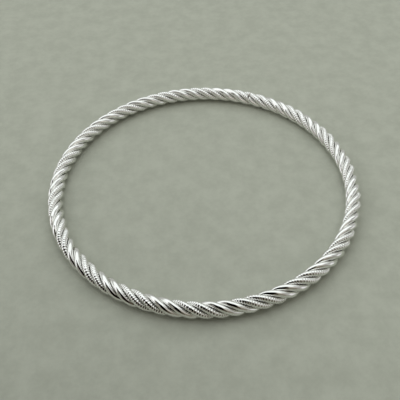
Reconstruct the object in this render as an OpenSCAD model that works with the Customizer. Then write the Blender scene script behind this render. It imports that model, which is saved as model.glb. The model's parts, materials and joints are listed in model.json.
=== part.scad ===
// Twisted wire bangle: a rope of four round wires, bent to a full ring and soldered shut.
//
// The ring lies flat. The origin is on the surface under the ring's centre, +Z is up, and
// ring angles run anticlockwise from +X. Across the rope, a direction of 0 points outwards,
// away from the wrist, and 90 points up. Lengths are in millimetres and angles in degrees.

/* [Bangle] */
// Diameter of the opening for the wrist, between the innermost crests of the wires
inside_d = 65; // [54:1:76]
// Ring angle of the soldered seam
seam_angle = 67.5; // [0:0.5:359.5]

/* [Rope] */
// Diameter of each wire
wire_d = 1.35; // [1:0.05:1.6]
// Full turns that the rope makes on its way round the ring
turns = 18.27; // [12:0.01:19]
// Direction of the first wire across the rope where the rope starts, at the seam
start_direction = 245; // [0:1:360]
// Clear space between neighbouring wires
wire_gap = 0.06; // [0.05:0.01:0.15]

/* [Solder] */
// Thickness of the solder between the cut ends
solder_t = 0.3; // [0.2:0.05:0.5]
// How far the solder stays below the surface of the wires
solder_inset = 0.06; // [0.02:0.02:0.2]
// Clear space between the solder and each cut end
end_gap = 0.04; // [0.04:0.01:0.1]

/* [Facets] */
// Flats round each wire
wire_sides = 8; // [6:1:8]
// Sections along each wire
wire_sections = 241; // [180:1:245]

/* [Hidden] */
$fn = 48;

wire_count = 4;
wire_r = wire_d / 2;
// Direction from one wire to the next, and from a wire to the mid-plane between two
wire_step = 360 / wire_count;
half_step = wire_step / 2;

// The lay radius runs from the rope's centre to the centre of each wire. It is the smallest
// radius at which four wires of their own size plus the gap fit round the centre, found by
// halving the space between one that is too small and one that is more than enough.
fit_r = (wire_d + wire_gap) / 2;
lay_r = smallest_clear(low = wire_r, high = 2 * wire_d, tries = 24);

rope_r = lay_r + wire_r;
ring_r = ring_radius(lay_r);

// Angle of the ring that half the solder and one end gap take up
end_angle = asin((solder_t / 2 + end_gap) / ring_r);
rope_span = 360 - 2 * end_angle;

// Radius of the circle through the middle of the rope
function ring_radius(r) = inside_d / 2 + r + wire_r;

// Length of ring in which a wire goes once round the rope
function lead_length(r) = 2 * PI * ring_radius(r) / turns;

// Angle between a wire and the rope's own direction
function lay_angle(r) = atan(2 * PI * r / lead_length(r));

// A helical wire of radius w, cut straight across the rope. The point at angle a round the
// wire sits w * sin(tilt) * sin(a) ahead of the cut, and turning it back along the helix
// brings it into the cut. The result is [distance, direction] from the rope's centre,
// with the wire's own centre in direction 0.
function cut_point(r, w, a) =
    let (
        tilt = lay_angle(r),
        across = w * cos(tilt) * sin(a),
        ahead = w * sin(tilt) * sin(a),
        out = r + w * cos(a)
    )
    [norm([out, across]), atan2(across, out) + 360 * ahead / lead_length(r)];

// Whether a wire laid at radius r stays on its side of the mid-plane to the next wire. Only
// the points on that side of the wire are looked at.
function is_clear(r) = max([for (a = [0:2:180]) cut_point(r, fit_r, a)[1]]) < half_step;

function smallest_clear(low, high, tries) =
    let (middle = (low + high) / 2)
    tries == 0 ? high
    : is_clear(middle) ? smallest_clear(low, middle, tries - 1)
    : smallest_clear(middle, high, tries - 1);

// Place in the bangle of a point [distance, direction] of the rope, at a ring angle
function rope_point(ring_angle, polar) =
    let (out = ring_r + polar[0] * cos(polar[1]))
    [out * cos(ring_angle), out * sin(ring_angle), rope_r + polar[0] * sin(polar[1])];

// How far the rope has turned at a ring angle past the seam. Seen along increasing ring
// angles, it turns from up to outwards.
function rope_turn(past_seam) = start_direction - past_seam * turns;

// One wire: its cut across the rope, carried round the ring and turned with the rope.
module wire(index) {
    section = [for (j = [0:wire_sides - 1]) cut_point(lay_r, wire_r, 360 * j / wire_sides)];
    points = [
        for (i = [0:wire_sections - 1])
            let (
                past_seam = end_angle + rope_span * i / (wire_sections - 1),
                turned = rope_turn(past_seam) + index * wire_step
            )
            for (corner = section)
                rope_point(seam_angle + past_seam, corner + [0, turned])
    ];
    start_face = [for (j = [wire_sides - 1:-1:0]) j];
    end_face = [for (j = [0:wire_sides - 1]) (wire_sections - 1) * wire_sides + j];
    walls = [
        for (i = [0:wire_sections - 2])
            for (j = [0:wire_sides - 1])
                let (
                    a = i * wire_sides + j,
                    b = i * wire_sides + (j + 1) % wire_sides
                )
                each [[a, b, b + wire_sides], [a, b + wire_sides, a + wire_sides]]
    ];
    polyhedron(points, concat([start_face], walls, [end_face]), convexity = 10);
}

// Puts flat shapes in the plane across the rope at a ring angle: x outwards, y up
module across_rope(ring_angle) {
    rotate([0, 0, ring_angle])
        translate([ring_r, 0, rope_r])
            rotate([90, 0, 0])
                children();
}

// The solder seen along the rope: it covers the ends of the four wires, a little short of
// their surfaces, and fills the hollows between them out to the wires' centres.
module end_outline(turned) {
    circle(r = lay_r);
    for (index = [0:wire_count - 1])
        rotate(turned + index * wire_step)
            translate([lay_r, 0])
                circle(r = wire_r - solder_inset);
}

module wire_plain_1() {
    color([0.86, 0.86, 0.85]) wire(0);
}

module wire_plain_2() {
    color([0.80, 0.80, 0.79]) wire(1);
}

module wire_milled_1() {
    color([0.70, 0.70, 0.69]) wire(2);
}

module wire_milled_2() {
    color([0.64, 0.64, 0.63]) wire(3);
}

// Solder between the cut ends. Each half follows the wires that it meets.
module solder_joint() {
    color([0.55, 0.54, 0.52])
        across_rope(seam_angle) {
            linear_extrude(solder_t / 2) end_outline(rope_turn(360));
            mirror([0, 0, 1]) linear_extrude(solder_t / 2) end_outline(rope_turn(0));
        }
}

wire_plain_1();
wire_plain_2();
wire_milled_1();
wire_milled_2();
solder_joint();
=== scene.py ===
# %% [markdown]
# # A twisted wire bangle
#
# The real bangle is a short rope of four silver wires, two of them smooth and two with fine
# ribs rolled round them. The rope is bent into a ring and its ends are soldered together.
# The part's construction model gives every place and size, so it is loaded first as a fixed
# frame. This file then dresses it: it sweeps finer wires along the same paths, gives them the
# finish of drawn and milled silver, and photographs them on a pale table.

import json
import math

import bpy
import numpy as np
from mathutils import Matrix, Vector


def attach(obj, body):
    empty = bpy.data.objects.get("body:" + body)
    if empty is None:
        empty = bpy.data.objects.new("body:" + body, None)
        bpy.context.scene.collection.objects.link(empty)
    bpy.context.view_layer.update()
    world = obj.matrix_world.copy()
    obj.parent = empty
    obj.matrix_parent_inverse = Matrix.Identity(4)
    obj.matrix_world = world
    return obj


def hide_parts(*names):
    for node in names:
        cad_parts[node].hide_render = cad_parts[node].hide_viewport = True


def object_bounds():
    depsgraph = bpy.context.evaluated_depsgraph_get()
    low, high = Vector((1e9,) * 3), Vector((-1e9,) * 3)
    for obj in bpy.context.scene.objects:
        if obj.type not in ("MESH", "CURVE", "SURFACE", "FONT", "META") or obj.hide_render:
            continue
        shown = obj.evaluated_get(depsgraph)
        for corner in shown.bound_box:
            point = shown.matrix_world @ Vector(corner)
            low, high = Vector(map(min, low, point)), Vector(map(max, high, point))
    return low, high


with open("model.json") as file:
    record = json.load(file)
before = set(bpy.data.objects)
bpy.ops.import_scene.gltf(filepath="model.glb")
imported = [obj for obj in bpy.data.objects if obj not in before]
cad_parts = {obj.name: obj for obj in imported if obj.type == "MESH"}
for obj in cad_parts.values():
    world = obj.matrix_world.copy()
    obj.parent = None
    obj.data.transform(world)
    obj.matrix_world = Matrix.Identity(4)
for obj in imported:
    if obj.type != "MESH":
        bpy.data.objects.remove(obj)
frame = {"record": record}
cad_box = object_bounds()
print("construction model:", [tuple(round(1000 * x, 3) for x in corner) for corner in cad_box])

# %% [markdown]
# ## Helpers for colours, nodes and objects
#
# A colour picked from a screen is an sRGB value, but the renderer adds up light, so it wants
# linear values. One function turns the usual hex colour into a linear one. Every material
# below is a small network of nodes, and a second function adds a node with its settings and
# the links to its inputs, so each line of a material reads as one step of the finish. Two
# more start an empty material and put an object into the scene.

# %% Colours, nodes and objects
# A Mix node keeps sockets for numbers, vectors and colours. These are the places of its two
# colour inputs and of its colour output.
COLOUR_A, COLOUR_B, BLENDED = 6, 7, 2


def linear(hex_colour):
    """sRGB hex to linear RGBA.

    Each channel is a share of 255. Up to 0.04045 it is divided by 12.92. Above that, 0.055 is
    added, the sum is divided by 1.055, and the result is raised to the power 2.4.
    """
    srgb = [int(hex_colour[i : i + 2], 16) / 255 for i in (1, 3, 5)]
    rgb = [c / 12.92 if c <= 0.04045 else ((c + 0.055) / 1.055) ** 2.4 for c in srgb]
    return (*rgb, 1.0)


def add(tree, kind, inputs=None, **settings):
    """Adds a node. Each input is a plain value, or another node's output socket to link."""
    node = tree.nodes.new("ShaderNode" + kind)
    for name, value in settings.items():
        setattr(node, name, value)
    for key, value in (inputs or {}).items():
        if isinstance(value, bpy.types.NodeSocket):
            tree.links.new(value, node.inputs[key])
        else:
            node.inputs[key].default_value = value
    return node


def empty_material(name):
    """A material that has no nodes yet, and its tree."""
    material = bpy.data.materials.new(name)
    material.use_nodes = True
    material.node_tree.nodes.clear()
    return material, material.node_tree


def new_object(name, data):
    """Puts a mesh, a camera or a light into the scene, as an object at the origin."""
    thing = bpy.data.objects.new(name, data)
    bpy.context.scene.collection.objects.link(thing)
    return thing


print("white is", linear("#FFFFFF"), "and mid grey is", round(linear("#808080")[0], 3))

# %% [markdown]
# ## The sizes of the bangle
#
# The opening is stated in the record that comes with the frame, and the rope is as thick as
# the ring is high when it lies flat. The rest repeats the construction model's own values,
# because the wires have to lie in the same places.

# %% Sizes, in metres and radians
MM = 0.001
opening = next(m for m in frame["record"]["mounts"] if m["name"] == "wrist_opening")
inside_r = opening["dims"]["r_mm"] * MM
rope_r = (cad_box[1].z - cad_box[0].z) / 2
ring_r = inside_r + rope_r
wire_r = 0.675 * MM
lay_r = rope_r - wire_r  # from the rope's core to the middle of each wire
wire_step = math.pi / 2  # four wires share the turn round the core
seam = math.radians(67.5)  # ring angle of the soldered joint
turns = 18.27  # of the rope, on its way round the ring
start_direction = math.radians(245)  # of the first wire, across the rope at the seam
solder_t = 0.3 * MM  # thickness of the construction model's solder
end_gap = 0.04 * MM  # from it to each cut end
end_angle = math.asin((solder_t / 2 + end_gap) / ring_r)
print(f"rope {2000 * rope_r:.2f} mm thick on a ring of radius {1000 * ring_r:.2f} mm")

# %% [markdown]
# ## The path of one wire
#
# A wire in a rope is a helix, and here the helix is bent round a ring. A Screw modifier or a
# curve with a bevel could draw it, but neither gives control over how the wire's own surface
# runs. The path is a formula instead: the rope's centre goes round the ring, and the wire's
# centre circles that centre once in each lead. The directions across the wire come from the
# same formula, one pointing away from the rope's core, so a crest is always at angle 0.

# %% Wire path
UP = np.array([0.0, 0.0, 1.0])
path_samples = 4001


def ring_directions(around):
    """At a ring angle, the unit vectors away from the ring's centre and ahead round the ring."""
    radial = np.stack([np.cos(around), np.sin(around), 0 * around], -1)
    ahead = np.stack([-np.sin(around), np.cos(around), 0 * around], -1)
    return radial, ahead


def wire_path(index, past_seam):
    """Centre, velocity and outward direction of a wire, at ring angles past the seam.

    The centre is the ring's circle plus the lay radius, in a direction that turns back by
    `turns` for each turn of the ring. The velocity is that formula's derivative. Outward
    points from the rope's core through the wire.
    """
    radial, ahead = ring_directions(seam + past_seam)
    facing = start_direction + index * wire_step - turns * past_seam
    c, s = np.cos(facing)[:, None], np.sin(facing)[:, None]
    centre = (ring_r + lay_r * c) * radial + (rope_r + lay_r * s) * UP
    velocity = (ring_r + lay_r * c) * ahead + turns * lay_r * (s * radial - c * UP)
    return centre, velocity, c * radial + s * UP


def wire_length(index):
    """Ring angles past the seam and the length of wire up to each, summed along the path."""
    angle = np.linspace(end_angle, 2 * math.pi - end_angle, path_samples)
    speed = np.linalg.norm(wire_path(index, angle)[1], axis=1)
    steps = (speed[1:] + speed[:-1]) / 2 * np.diff(angle)
    return angle, np.concatenate([[0.0], np.cumsum(steps)])


print(f"one wire is {1000 * wire_length(0)[1][-1]:.1f} mm long")

# %% [markdown]
# ## A tube from a grid
#
# Each wire is a grid of points rolled up into a tube: one parameter runs along the path and
# the other goes round it. A single point closes each end. The faces and the UV map depend
# only on the number of rows and of points in a row, so they are worked out apart from the
# shape. The UV map is in metres, so that patterns keep their real size.


# %% Faces and UV map of a tube
def tube_faces(rows, sides):
    """Quads between the rows, and triangles to the point that closes each end.

    Points count along a row and then from row to row, and the two end points come last. The
    faces point outwards if the rows go round anticlockwise, seen from where the path leads.
    """
    i, j = np.arange(rows - 1)[:, None], np.arange(sides)[None, :]
    low, high = i * sides + j, i * sides + (j + 1) % sides
    quads = np.stack([low, high, high + sides, low + sides], -1).reshape(-1, 4)
    here, after = np.arange(sides), (np.arange(sides) + 1) % sides
    first_cap, last_cap = np.full(sides, rows * sides), np.full(sides, rows * sides + 1)
    last_row = (rows - 1) * sides
    first = np.stack([first_cap, after, here], -1)
    last = np.stack([last_cap, last_row + here, last_row + after], -1)
    return quads, np.concatenate([first, last])


def tube_uv(stations, sides, total):
    """UV of every corner of the faces, in metres: the length, and the way round the wire."""
    i, j = np.arange(len(stations) - 1)[:, None], np.arange(sides)[None, :]
    u = np.stack([stations[i], stations[i], stations[i + 1], stations[i + 1]], -1)
    v = np.stack([j, j + 1, j + 1, j], -1) * (2 * math.pi * wire_r / sides)
    quad_uv = np.stack(np.broadcast_arrays(u, v), -1).reshape(-1, 2)
    cap_uv = np.repeat([[0.0, 0.0], [total, 0.0]], 3 * sides, axis=0)
    return np.concatenate([quad_uv, cap_uv])


print("a tube of 3 rows of 4 points has", len(tube_faces(3, 4)[0]), "quads")

# %% [markdown]
# ## The skin of a wire
#
# Each row is a ring of points at right angles to the wire. Where the wire was sawn through,
# its end is square to the rope and not to the wire, so the last rows lean over until they lie
# in that plane, and the rim is rounded a little. An attribute says how far each point faces
# away from the rope's core, which the finish needs later for its painted valley shade.

# %% Wire skin
end_round = 0.05 * MM  # radius of the rim at a cut end
lean_length = 1.6 * MM  # over which the rows lean into the plane of the cut
rim_rows = 6


def with_rims(inner, total):
    """Lengths of the rows of a wire: the inner ones, and close ones over the rounded rims."""
    rim = end_round * (1 - np.cos(np.linspace(0, math.pi / 2, rim_rows)))
    inner = inner[(inner > end_round) & (inner < total - end_round)]
    return np.concatenate([rim, inner, total - rim[::-1]])


def wire_skin(index, stations, sides, radius):
    """Vertices, quads, triangles, outwardness and UV map of a wire.

    A point is the centre plus the radius times (cos a outward + sin a sideways), where
    sideways is forward crossed with outward. The radius is a function of the length s and the
    angle a, and over the rim it follows a quarter circle. Near an end the point also slides
    along the wire, more and more, until its row lies in the plane across the rope.
    """
    angle, length = wire_length(index)
    total = length[-1]
    s = stations[:, None]
    a = (np.arange(sides) * 2 * math.pi / sides)[None, :]
    past_seam = np.interp(stations, length, angle)
    centre, velocity, outward = wire_path(index, past_seam)
    forward = velocity / np.linalg.norm(velocity, axis=1)[:, None]
    sideways = np.cross(forward, outward)
    to_end = np.minimum(s, total - s)
    inset = np.clip(end_round - to_end, 0, end_round)
    r = radius(s, a) - (end_round - np.sqrt(end_round**2 - inset**2))
    across = outward[:, None] * (r * np.cos(a))[..., None]
    across = across + sideways[:, None] * (r * np.sin(a))[..., None]
    lean = np.clip(1 - to_end / lean_length, 0, 1)
    lean = lean * lean * (3 - 2 * lean)
    ahead = ring_directions(seam + past_seam)[1]
    cosine = (forward * ahead).sum(1)[:, None]
    slide = -(across * ahead[:, None]).sum(2) / cosine * lean
    points = centre[:, None] + across + forward[:, None] * slide[..., None]
    vertices = np.concatenate([points.reshape(-1, 3), points[[0, -1]].mean(1)])
    outwardness = np.concatenate([(np.cos(a) + 0 * s).ravel(), [0.0, 0.0]])
    return vertices, *tube_faces(len(s), sides), outwardness, tube_uv(stations, sides, total)


print(f"a wire's cut end is rounded by {1000 * end_round:.2f} mm")

# %% [markdown]
# ## From arrays to a mesh
#
# Blender can build a mesh from lists, but whole arrays go in much faster with foreach_set. A
# closed mesh whose faces point outwards has a positive volume, so printing it is a check.


# %% Mesh from arrays
def volume_of(mesh):
    """Sum of the tetrahedra from the origin to each triangle: positive if faces point out."""
    points = np.empty(len(mesh.vertices) * 3, np.float32)
    mesh.vertices.foreach_get("co", points)
    index = np.empty(len(mesh.loop_triangles) * 3, np.int32)
    mesh.loop_triangles.foreach_get("vertices", index)
    p = points.reshape(-1, 3).astype(float)[index.reshape(-1, 3)]
    return float(np.einsum("ij,ij->i", p[:, 0], np.cross(p[:, 1], p[:, 2])).sum() / 6)


def make_piece(name, vertices, quads, triangles, outwardness, uv=None):
    """Puts the arrays into a smooth shaded mesh, on an object at the origin."""
    mesh = bpy.data.meshes.new(name)
    corners = np.concatenate([quads.ravel(), triangles.ravel()]).astype(np.int32)
    sizes = np.concatenate([np.full(len(quads), 4), np.full(len(triangles), 3)])
    starts = np.concatenate([[0], np.cumsum(sizes)[:-1]]).astype(np.int32)
    mesh.vertices.add(len(vertices))
    mesh.loops.add(len(corners))
    mesh.polygons.add(len(sizes))
    mesh.vertices.foreach_set("co", vertices.astype(np.float32).ravel())
    mesh.loops.foreach_set("vertex_index", corners)
    mesh.polygons.foreach_set("loop_start", starts)
    if uv is not None:
        layer = mesh.uv_layers.new(name="along_and_round")
        layer.data.foreach_set("uv", uv.astype(np.float32).ravel())
    attribute = mesh.attributes.new("outwardness", "FLOAT", "POINT")
    attribute.data.foreach_set("value", outwardness.astype(np.float32))
    mesh.update(calc_edges=True)
    mesh.validate()
    mesh.polygons.foreach_set("use_smooth", np.ones(len(mesh.polygons), bool))
    mesh.calc_loop_triangles()
    print(name, len(mesh.loop_triangles), "triangles,", f"{1e9 * volume_of(mesh):.1f} mm3")
    return new_object(name, mesh)


# %% [markdown]
# ## The two plain wires
#
# Plain silver wire is drawn through a plate, which leaves it round and straight along its
# length. Twisting by hand then bends it a little unevenly. A few long waves of some
# thousandths of a millimetre are enough for that: they can't be seen in the outline, but
# they make a reflection wander as it does on real wire.

# %% Plain wires
drawn_height = 0.005 * MM
DRAWN_WAVES = [  # share of the height, mm per radian, waves round the wire, times the phase
    (0.40, 2.3, 0, 1),
    (0.35, 1.31, 1, 2),
    (0.25, 0.83, -2, 3),
]
plain_sides = 28
plain_row_step = 0.155 * MM
plain_phase_start, plain_phase_step = 0.4, 1.7  # so that no two wires are alike


def waves(table, s, a, phase):
    """Sum of the table's sine waves at length s and angle a, each times its share."""
    return sum(
        share * np.sin(s / (mm_per_radian * MM) + laps * a + times * phase)
        for share, mm_per_radian, laps, times in table
    )


def drawn_radius(phase):
    """Wire radius plus the sum of three long waves, two of which also run round the wire."""
    return lambda s, a: wire_r + drawn_height * waves(DRAWN_WAVES, s, a, phase)


plain_wires = []
for index, name in enumerate(["wire_plain_1", "wire_plain_2"]):
    total = wire_length(index)[1][-1]
    steps = round((total - 2 * end_round) / plain_row_step)
    stations = with_rims(np.linspace(end_round, total - end_round, steps + 1), total)
    phase = plain_phase_step * index + plain_phase_start
    skin = wire_skin(index, stations, plain_sides, drawn_radius(phase))
    piece = make_piece("drawn_" + name, *skin)
    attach(piece, "root")
    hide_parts(name)
    plain_wires.append(piece)

# %% [markdown]
# ## The two milled wires
#
# The other two wires were rolled between grooved wheels, which leaves broad ribs round them
# with narrow grooves in between. Neither the spacing nor the depth is quite even, because the
# wheels slip and the wire is twisted afterwards. A bump map could fake the ribs, but they
# break up the reflections and show in the outline, so they are real shape here: eight rows of
# points to a rib, one of them in the bottom of the groove.

# %% Ribs
rib_pitch = 0.52 * MM
rib_depth = 0.07 * MM
rib_sharpness = 1.2  # above 1, the crests are broad and the grooves narrow
crest_height = 0.006 * MM  # the metal pushed up between two grooves
rows_per_rib = 8
count_samples = 40001  # along a wire, where its ribs are counted to find the rows
SPACING_WAVES = [(0.10, 0.47, 0, 1), (0.16, 1.3, 0, 2)]  # columns as above, share of a rib
DEPTH_WAVES = [(0.34, 0.71, 2, 1), (0.22, 0.37, -1, 0)]  # columns as above, share of the depth


def rib_count(total, s, phase):
    """Ribs passed at length s: an even count plus two slow waves, which vary their spacing.

    The waves fade out to nothing at both ends, so that the count there is a whole number.
    """
    even = round(total / rib_pitch) * s / total
    return even + np.sin(math.pi * s / total) * waves(SPACING_WAVES, s, 0, phase)


def rib_stations(total, phase):
    """Lengths at which the count of ribs passes each row, read off the count backwards."""
    fine = np.linspace(0, total, count_samples)
    rows = np.arange(1, round(total / rib_pitch) * rows_per_rib) / rows_per_rib
    return np.interp(rows, rib_count(total, fine, phase), fine)


def milled_radius(total, phase):
    """Crest radius less the groove: one minus a half sine wave per rib, raised to a power.

    The power flattens the crests and narrows the grooves. Two waves that run both along and
    round the wire make the depth uneven.
    """

    def radius(s, a):
        crest = np.abs(np.sin(math.pi * rib_count(total, s, phase)))
        uneven = 1 + waves(DEPTH_WAVES, s, a, phase)
        return wire_r + crest_height - rib_depth * uneven * (1 - crest) ** rib_sharpness

    return radius


print(f"ribs {1000 * rib_pitch:.2f} mm apart, grooves about {1000 * rib_depth:.2f} mm deep")

# %% Milled wires
milled_sides = 24
milled_phase_step = 1.3
milled_wires = []
for index, name in enumerate(["wire_milled_1", "wire_milled_2"], start=2):
    total = wire_length(index)[1][-1]
    phase = milled_phase_step * index
    stations = with_rims(rib_stations(total, phase), total)
    skin = wire_skin(index, stations, milled_sides, milled_radius(total, phase))
    piece = make_piece("ribbed_" + name, *skin)
    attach(piece, "root")
    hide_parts(name)
    milled_wires.append(piece)
    print(round(total / rib_pitch), "ribs")

# %% [markdown]
# ## The soldered seam
#
# Where the ends of the rope meet, silver solder fills the joint between the four pairs of
# cut ends. It was dressed flush with the wires, so most of it hardly shows. Only on the upper
# side, towards the wrist, a small pit was left, a dark notch in the bright rope. The solder is
# a tube too, as short as a disc: one parameter goes round the rope, over four lobes that
# follow the cut wires and turn with them, and the other across the thickness. The pit is a
# dip in its radius.

# %% Outline of the cut wires
cut_reach = 1.9  # radians round a wire, past which its neighbours cover it
cut_samples = 121


def nearest(angle, period):
    """The angle less whole periods, so that it lies within half a period of zero."""
    return (angle + period / 2) % period - period / 2


def cut_outline(w):
    """Directions and distances from the rope's core to a wire of radius w, cut across the rope.

    A point at angle a round the wire is w sin(tilt) sin(a) ahead of the cut, and it turns back
    by that length times the rope's turning. The tilt is the angle of the wire to the rope.
    """
    a = np.linspace(-cut_reach, cut_reach, cut_samples)
    tilt = math.atan2(turns * lay_r, ring_r)
    out, across = lay_r + w * np.cos(a), w * math.cos(tilt) * np.sin(a)
    turned = np.arctan2(across, out) + w * math.sin(tilt) * np.sin(a) * turns / ring_r
    order = np.argsort(turned)
    return turned[order], np.hypot(out, across)[order]


print(f"a cut wire reaches {1000 * cut_outline(wire_r)[1].max():.2f} mm from the core")

# %% Solder
solder_inset = 0.004 * MM
solder_shown = 0.46 * MM  # it flows up to the cut ends and over their rims
pit_direction, pit_half_width, pit_depth = math.radians(122), math.radians(27), 0.35 * MM
dent_depth = 0.006 * MM  # what the file left


def solder_radius(t, a):
    """Radius of the solder, and the pit's share of its full depth, from 0 to 1.

    The radius is the cut wires' outline, or the lay radius if larger. Its lobes turn evenly
    from one side's wires to the nearest of the other side's. t runs from -0.5 to 0.5 across
    the thickness. The pit is a half cosine of t times a bell curve round its direction. The
    dents are the half cosine times one plus the product of two sine waves round the rope.
    """
    face_turn = turns * solder_shown / 2 / ring_r
    turned_after = start_direction - face_turn
    turned_before = start_direction - turns * 2 * math.pi + face_turn
    offset = nearest(turned_before - turned_after, wire_step)
    lobe = nearest(a - turned_after - offset * (0.5 - t), wire_step)
    r = np.maximum(np.interp(lobe, *cut_outline(wire_r - solder_inset)), lay_r)
    middle = np.cos(math.pi * t)
    from_pit = nearest(a - pit_direction, 2 * math.pi)
    pit = middle * np.exp(-((from_pit / pit_half_width) ** 2))
    dents = middle * (1 + np.sin(5 * a + 1) * np.sin(3 * a))
    return r - pit_depth * pit - dent_depth * dents, pit


def solder_skin(sides=192, rows=13):
    """Vertices, quads, triangles and outwardness of the disc of solder.

    A point is the rope's core at the seam plus the radius times (cos a radial + sin a up)
    plus the thickness times t ahead. These rows go round the other way than a wire's, so the
    faces are turned over. The outwardness is 1, less the pit's share.
    """
    t = np.linspace(-0.5, 0.5, rows)[:, None]
    a = (np.arange(sides) * 2 * math.pi / sides)[None, :]
    r, pit = solder_radius(t, a)
    radial, ahead = ring_directions(seam)
    core = ring_r * radial + rope_r * UP
    points = core + (r * np.cos(a))[..., None] * radial + (r * np.sin(a))[..., None] * UP
    points = points + (solder_shown * t)[..., None] * ahead
    caps = core + solder_shown * np.array([[-0.5], [0.5]]) * ahead
    vertices = np.concatenate([points.reshape(-1, 3), caps])
    quads, triangles = tube_faces(rows, sides)
    outwardness = np.concatenate([(1 - pit).ravel(), [0.0, 0.0]])
    return vertices, quads[:, [0, 3, 2, 1]], triangles[:, [0, 2, 1]], outwardness


seam_piece = make_piece("solder_seam", *solder_skin())
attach(seam_piece, "root")
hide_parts("solder_joint")

# %% [markdown]
# ## The finish of the wires
#
# Silver reflects nearly all the light that falls on it, so its colour is close to white and
# most of what is dark on it is a reflection. Drawing leaves hair-fine lines along the wire, a few
# hundredths of a millimetre apart, that stretch a highlight across the wire. In the valleys,
# painted shade darkens the colour to a greyish brown and makes it rougher. The painted shade
# follows the attribute that says how far a point faces away from the rope's core, moved about by
# noise.

# %% Polished silver
# The third colour is painted shade, a greyish brown for the valleys between the wires.
clean_silver, dull_silver, valley_shade_colour = "#F5F5F3", "#E2DEDA", "#7C776F"
line_stretch = (0.12, 1, 1)  # a line is some eight times as long as it is wide
patch_size = 2.4 * MM
patch_shift = 0.35  # how far the patches move the edge of the painted valley shade
valley_roughness = 0.28  # added where the painted valley shade is full


def silver(name, roughness, line_depth, line_spacing):
    """Silver, darkened by painted shade where it faces the rope's core."""
    material, tree = empty_material(name)
    place = add(tree, "UVMap", uv_map="along_and_round").outputs[0]
    stretched = add(tree, "Mapping", {"Vector": place, "Scale": line_stretch}).outputs[0]
    lines = add(
        tree,
        "TexNoise",
        {"Vector": stretched, "Scale": 1 / line_spacing, "Detail": 3.0, "Roughness": 0.6},
    ).outputs[0]
    spot = add(tree, "TexCoord").outputs["Object"]
    patches = add(
        tree,
        "TexNoise",
        {"Vector": spot, "Scale": 1 / patch_size, "Detail": 4.0, "Roughness": 0.6},
    ).outputs[0]
    facing = add(tree, "Attribute", attribute_name="outwardness").outputs["Fac"]
    wandering = add(
        tree, "Math", {0: patches, 1: patch_shift, 2: facing}, operation="MULTIPLY_ADD"
    ).outputs[0]
    # Painted shade: where a point faces the rope's core, in the valleys, the colour is darkened.
    painted_valley_shade = add(
        tree,
        "MapRange",
        {"Value": wandering, "From Min": -0.70, "From Max": -0.10, "To Min": 1.0, "To Max": 0.0},
        interpolation_type="SMOOTHSTEP",
    ).outputs[0]
    tint = add(
        tree,
        "MapRange",
        {"Value": patches, "From Min": 0.35, "From Max": 0.75, "To Min": 0.0, "To Max": 0.25},
        interpolation_type="SMOOTHSTEP",
    ).outputs[0]
    bright = add(
        tree,
        "Mix",
        {"Factor": tint, COLOUR_A: linear(clean_silver), COLOUR_B: linear(dull_silver)},
        data_type="RGBA",
    ).outputs[BLENDED]
    with_painted_shade = add(
        tree,
        "Mix",
        {"Factor": painted_valley_shade, COLOUR_A: bright, COLOUR_B: linear(valley_shade_colour)},
        data_type="RGBA",
    ).outputs[BLENDED]
    smooth, rough = roughness * 0.7, roughness * 1.4
    uneven = add(
        tree,
        "MapRange",
        {"Value": patches, "From Min": 0.3, "From Max": 0.7, "To Min": smooth, "To Max": rough},
    ).outputs[0]
    rougher_in_valleys = add(
        tree,
        "Math",
        {0: painted_valley_shade, 1: valley_roughness, 2: uneven},
        operation="MULTIPLY_ADD",
    ).outputs[0]
    bump = add(tree, "Bump", {"Strength": 1.0, "Distance": line_depth, "Height": lines})
    shader = add(
        tree,
        "BsdfPrincipled",
        {
            "Base Color": with_painted_shade,
            "Metallic": 1.0,
            "Roughness": rougher_in_valleys,
            "Normal": bump.outputs[0],
        },
    )
    add(tree, "OutputMaterial", {"Surface": shader.outputs[0]})
    return material


# The milled wires are a little rougher, and their lines are deeper and closer.
drawn_silver = silver("silver_drawn_polished", 0.035, 0.0006 * MM, 0.05 * MM)
milled_silver = silver("silver_milled_polished", 0.04, 0.0008 * MM, 0.04 * MM)
for piece in plain_wires:
    piece.data.materials.append(drawn_silver)
for piece in milled_wires:
    piece.data.materials.append(milled_silver)
print("silver finishes:", drawn_silver.name, "and", milled_silver.name)

# %% [markdown]
# ## The finish of the solder
#
# Solder is a silver alloy with a lower melting point. It was filed flush by hand, so it is a
# little rougher, greyer and more grainy than the drawn wires, but still bright. In the pit the
# colour is made darker and the surface rougher.

# %% Solder finish
grain_size = 0.12 * MM
grain_depth = 0.003 * MM
# The last colour is the darker one inside the pit.
dark_grain, pale_grain, pit_colour = "#D2CFC8", "#EEECE8", "#45413A"
filed_roughness, pit_roughness = 0.12, 0.35  # the second is added to the first

solder_material, tree = empty_material("silver_solder_filed")
spot = add(tree, "TexCoord").outputs["Object"]
grain = add(tree, "TexNoise", {"Vector": spot, "Scale": 1 / grain_size, "Detail": 3.0}).outputs[0]
pale = add(
    tree,
    "MapRange",
    {"Value": grain, "From Min": 0.3, "From Max": 0.7},
    interpolation_type="SMOOTHSTEP",
).outputs[0]
filed = add(
    tree,
    "Mix",
    {"Factor": pale, COLOUR_A: linear(dark_grain), COLOUR_B: linear(pale_grain)},
    data_type="RGBA",
).outputs[BLENDED]
out_of_pit = add(tree, "Attribute", attribute_name="outwardness").outputs["Fac"]
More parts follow.
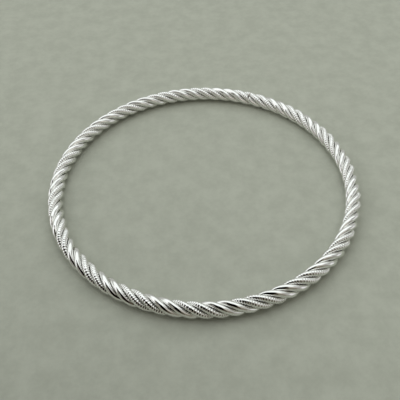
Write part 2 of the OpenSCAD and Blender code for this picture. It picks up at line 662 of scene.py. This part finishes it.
# Where the pit is deepest, the colour is made darker and the surface rougher.
pit_darkening = add(
    tree,
    "MapRange",
    {"Value": out_of_pit, "From Min": 0.15, "From Max": 0.75, "To Min": 1.0, "To Max": 0.0},
    interpolation_type="SMOOTHSTEP",
).outputs[0]
darkened = add(
    tree,
    "Mix",
    {"Factor": pit_darkening, COLOUR_A: filed, COLOUR_B: linear(pit_colour)},
    data_type="RGBA",
).outputs[BLENDED]
rough = add(
    tree,
    "Math",
    {0: pit_darkening, 1: pit_roughness, 2: filed_roughness},
    operation="MULTIPLY_ADD",
).outputs[0]
bump = add(tree, "Bump", {"Strength": 0.6, "Distance": grain_depth, "Height": grain}).outputs[0]
shader = add(
    tree,
    "BsdfPrincipled",
    {"Base Color": darkened, "Metallic": 1.0, "Roughness": rough, "Normal": bump},
)
add(tree, "OutputMaterial", {"Surface": shader.outputs[0]})
seam_piece.data.materials.append(solder_material)
print(f"solder with a grain of {1000 * grain_size:.2f} mm")

# %% [markdown]
# ## The table
#
# The bangle lies on a plain pale surface, grey with a little green and not quite even in
# tone. It is matt, so it mirrors nothing itself, but the undersides of the wires mirror it.

# %% Floor
reach = 3.0  # metres each way
cloud_size = 5 * MM
dark_tone, pale_tone = "#B7BAAC", "#C5C8BA"

corners = [(-reach, -reach, 0), (reach, -reach, 0), (reach, reach, 0), (-reach, reach, 0)]
floor_mesh = bpy.data.meshes.new("floor")
floor_mesh.from_pydata(corners, [], [(0, 1, 2, 3)])
floor = new_object("floor", floor_mesh)
matt, tree = empty_material("table_top_matt")
spot = add(tree, "TexCoord").outputs["Object"]
cloud = add(
    tree,
    "TexNoise",
    {"Vector": spot, "Scale": 1 / cloud_size, "Detail": 7.0, "Roughness": 0.72},
).outputs[0]
pale = add(
    tree,
    "MapRange",
    {"Value": cloud, "From Min": 0.3, "From Max": 0.7},
    interpolation_type="SMOOTHSTEP",
).outputs[0]
tone = add(
    tree,
    "Mix",
    {"Factor": pale, COLOUR_A: linear(dark_tone), COLOUR_B: linear(pale_tone)},
    data_type="RGBA",
).outputs[BLENDED]
shader = add(tree, "BsdfPrincipled", {"Base Color": tone, "Roughness": 0.75})
add(tree, "OutputMaterial", {"Surface": shader.outputs[0]})
floor_mesh.materials.append(matt)
print(f"a table of {2 * reach:.0f} m, between {dark_tone} and {pale_tone}")

# %% [markdown]
# ## The room
#
# Polished silver shows the room more than itself. A bright ceiling and tall panels of light on
# the left and the right give the white bands, and the dimmer walls give the greys. They are
# drawn on the sky as soft-edged windows. Each has the direction of its middle, measured
# clockwise from the back, its half width, its lowest and highest angle, the width of its soft
# edge, its colour and its brightness. Later windows cover earlier ones. The camera sees a
# plain pale backdrop instead.

# %% Windows in the sky
SKY = ("#F6FBF9", 1.18)
WINDOWS = [  # name, middle, half width, lowest, highest, edge (degrees), colour, brightness
    ("back_wall", 0, 78, -5, 29, 16, "#DADCD6", 0.66),
    ("right_wall", 90, 34, -5, 60, 18, "#E2E2DC", 0.52),
    ("right_low", 96, 33, -8, 22, 8, "#FFFFFF", 0.78),
    ("right_strip", 108, 6, -10, 52, 6, "#FFFFFF", 1.0),
    ("front_wall", 180, 75, -5, 60, 14, "#CFCDC2", 0.47),
    ("front_ceiling", 180, 80, 60, 95, 12, "#F2F5F0", 0.72),
    ("left_window", -92, 14, -10, 62, 8, "#FFFFFF", 1.08),
]
backdrop = "#B4B6AC"


def glowing(hex_colour, level):
    """The linear colour times a brightness, which may be more than 1."""
    return (*(level * c for c in linear(hex_colour)[:3]), 1.0)


print(len(WINDOWS), "windows in a sky of", [round(c, 2) for c in glowing(*SKY)[:3]])

# %% Light from the room
scene = bpy.context.scene
world = bpy.data.worlds.new("room")
scene.world = world
world.use_nodes = True
tree = world.node_tree
tree.nodes.clear()
way = add(tree, "TexCoord").outputs["Generated"]
xyz = add(tree, "SeparateXYZ", {0: way})
x, y, z = xyz.outputs
azimuth = add(tree, "Math", {0: x, 1: y}, operation="ARCTAN2").outputs[0]
height = add(tree, "Math", {0: z}, operation="ARCSINE").outputs[0]
light = glowing(*SKY)
for label, middle, half, lowest, highest, edge, colour, level in WINDOWS:
    off = add(tree, "Math", {0: azimuth, 1: math.radians(middle)}, operation="SUBTRACT")
    off = add(tree, "Math", {0: off.outputs[0], 1: -math.pi, 2: math.pi}, operation="WRAP")
    off = add(tree, "Math", {0: off.outputs[0]}, operation="ABSOLUTE").outputs[0]
    soft = math.radians(edge) / 2
    side, bottom, top = [
        add(
            tree,
            "MapRange",
            {
                "Value": angle,
                "From Min": math.radians(limit) - soft,
                "From Max": math.radians(limit) + soft,
                "To Min": before,
                "To Max": 1.0 - before,
            },
            interpolation_type="SMOOTHSTEP",
        ).outputs[0]
        for angle, limit, before in [
            (off, half, 1.0),
            (height, lowest, 0.0),
            (height, highest, 1.0),
        ]
    ]
    mask = add(tree, "Math", {0: side, 1: bottom}, operation="MULTIPLY").outputs[0]
    mask = add(tree, "Math", {0: mask, 1: top}, operation="MULTIPLY").outputs[0]
    light = add(
        tree,
        "Mix",
        {"Factor": mask, COLOUR_A: light, COLOUR_B: glowing(colour, level)},
        data_type="RGBA",
        label=label,
    ).outputs[BLENDED]
seen = add(tree, "LightPath").outputs["Is Camera Ray"]
shown = add(
    tree,
    "Mix",
    {"Factor": seen, COLOUR_A: light, COLOUR_B: linear(backdrop)},
    data_type="RGBA",
).outputs[BLENDED]
glow = add(tree, "Background", {"Color": shown, "Strength": 1.0})
add(tree, "OutputWorld", {"Surface": glow.outputs[0]})
print("the room has", len(tree.nodes), "nodes")

# %% [markdown]
# ## The camera
#
# The camera's place comes from fitting a ring to the picture's two outlines of the bangle: it
# looks down by 47 degrees from about 13 cm away, is rolled by a degree and a half, and its
# lens takes in 38 degrees. The lengths are in units of the ring's radius.

# %% Camera
focal_pixels, picture_pixels = 575.0294, 400
distance, look_down, roll = 3.817859, 0.8254248, -0.025707
aside, nearer = -0.027792, -0.155248  # of the point looked at, from the ring's centre
sensor_mm = 36

back = distance * math.cos(look_down)
above = distance * math.sin(look_down)
place = ring_r * Vector((aside, nearer - back, above)) + Vector((0, 0, rope_r))
forward = Vector((0, math.cos(look_down), -math.sin(look_down)))
level_right = Vector((1, 0, 0))
level_up = level_right.cross(forward)
right = level_right * math.cos(roll) + level_up * math.sin(roll)
up = level_up * math.cos(roll) - level_right * math.sin(roll)
camera_data = bpy.data.cameras.new("camera")
camera_data.sensor_width = sensor_mm
camera_data.lens = focal_pixels * sensor_mm / picture_pixels
camera_data.clip_start = 5 * MM  # nearer than the cards, which hang close to the lens
camera = new_object("camera", camera_data)
turned = Matrix((right, up, -forward)).transposed().to_4x4()
camera.matrix_world = Matrix.Translation(place) @ turned
scene.camera = camera
scene.view_settings.view_transform = "Standard"
print("camera at", [round(1000 * x, 1) for x in place], "mm, lens", round(camera_data.lens, 2))

# %% [markdown]
# ## Cards round the lens
#
# Jewellery is photographed with black and grey cards round the lens, because a rope of bright
# silver looks flat without dark lines in it. They hang about 25 mm ahead of the lens and face
# the ring, the later ones a little nearer to the lens. The black one gives the black line
# along every wire at the front and shades the table there, and the grey ones beside it give
# the greys. The camera itself doesn't see them.


# %% Cards
def make_board(name, points, colour, shades_table=False):
    """A flat polygon of lit paper, which the camera doesn't see. It may shade the table."""
    mesh = bpy.data.meshes.new(name)
    mesh.from_pydata(points, [], [tuple(range(len(points)))])
    board = new_object(name, mesh)
    board.visible_camera = False
    board.visible_diffuse = board.visible_shadow = shades_table
    paper, tree = empty_material(name + "_paper")
    lit = add(tree, "Emission", {"Color": linear(colour), "Strength": 1.0})
    add(tree, "OutputMaterial", {"Surface": lit.outputs[0]})
    mesh.materials.append(paper)


CARDS = [  # name, colour, mm ahead of the lens, corners in mm to the right of and above its axis
    (
        "black",
        "#040404",
        26,
        [(-70, -48), (-54, -74), (-4, -66), (14, -26), (14, 18), (-8, 34), (-56, 48), (-70, 24)],
    ),
    (
        "dark_slant",
        "#24221F",
        25.8,
        [(-62, 20), (-40, 30), (-28, 50), (-60, 84), (-125, 112), (-145, 96), (-130, 74),
         (-84, 60)],
    ),
    (
        "brown_fringe",
        "#4E483C",
        25.5,
        [(-76, -60), (-62, -98), (26, -98), (30, -30), (26, 24), (-6, 44), (-54, 54)],
    ),
    (
        "grey_above",
        "#625F59",
        25,
        [(-135, -14), (-58, -14), (20, 10), (20, 48), (-60, 60), (-150, 56)],
    ),
    ("grey_left", "#9E9B94", 24.5, [(-128, -64), (-56, -64), (-56, 0), (-128, 0)]),
    ("brown_right", "#7E7A6E", 24, [(0, -110), (108, -110), (108, 0), (0, 0)]),
    ("grey_right", "#BFBAB2", 23.5, [(10, -10), (112, -10), (112, 50), (10, 50)]),
    ("brown_below", "#746C60", 23, [(-118, -110), (20, -110), (20, -56), (-118, -56)]),
]
for name, colour, ahead, corners in CARDS:
    middle = place + forward * (ahead * MM)
    points = [middle + right * (x * MM) + up * (y * MM) for x, y in corners]
    make_board("card_" + name, points, colour, shades_table=name == "black")
print(len(CARDS), "cards round the lens")

# %% [markdown]
# ## Grey boards
#
# Three larger grey boards stand farther off, two on the left and one above the lens. They
# keep the long wires on the left side of the ring from mirroring nothing but bright sky. They
# are given in the ring's own millimetres, so they don't move if the camera does.

# %% Boards
BOARDS = [  # name, colour, corners in the ring's own millimetres
    ("left", "#85837D", [(-120, -48, 55), (-120, -165, 55), (-120, -165, 210), (-120, -48, 210)]),
    ("left_low", "#7B776E", [(-120, -78, 0), (-120, -165, 0), (-120, -165, 55), (-120, -78, 55)]),
    ("above_lens", "#8A8882", [(-70, -75, 150), (40, -75, 150), (40, -140, 150), (-70, -140, 150)]),
]
for name, colour, corners in BOARDS:
    make_board("board_" + name, [Vector(corner) * MM for corner in corners], colour)
print(len(BOARDS), "boards farther off")

# %% [markdown]
# ## A fill light for the back
#
# The cards near the lens would darken the back of the ring too, where the wires should be
# bright. A soft lamp hangs over the middle of the ring and faces the back, so only the back
# half mirrors it. An area lamp shines from one side alone, so the front doesn't see it. It is
# switched off for the table, where it would spoil the even tone. A lamp is set by its power,
# which is its brightness times pi times its area.

# %% Fill light
fill_width, fill_height = 96 * MM, 46 * MM
fill_place = (-4 * MM, -16 * MM, 36 * MM)
fill_radiance = 0.32
fill_data = bpy.data.lights.new("fill", "AREA")
fill_data.shape = "RECTANGLE"
fill_data.size, fill_data.size_y = fill_width, fill_height
fill_data.color = linear("#FBF8F2")[:3]
fill_data.energy = fill_radiance * math.pi * fill_width * fill_height
fill = new_object("fill", fill_data)
fill.location = fill_place
fill.rotation_euler = (math.pi / 2, 0, 0)
fill.visible_camera = fill.visible_diffuse = False
print(f"the fill light gives {1000 * fill_data.energy:.1f} mW")
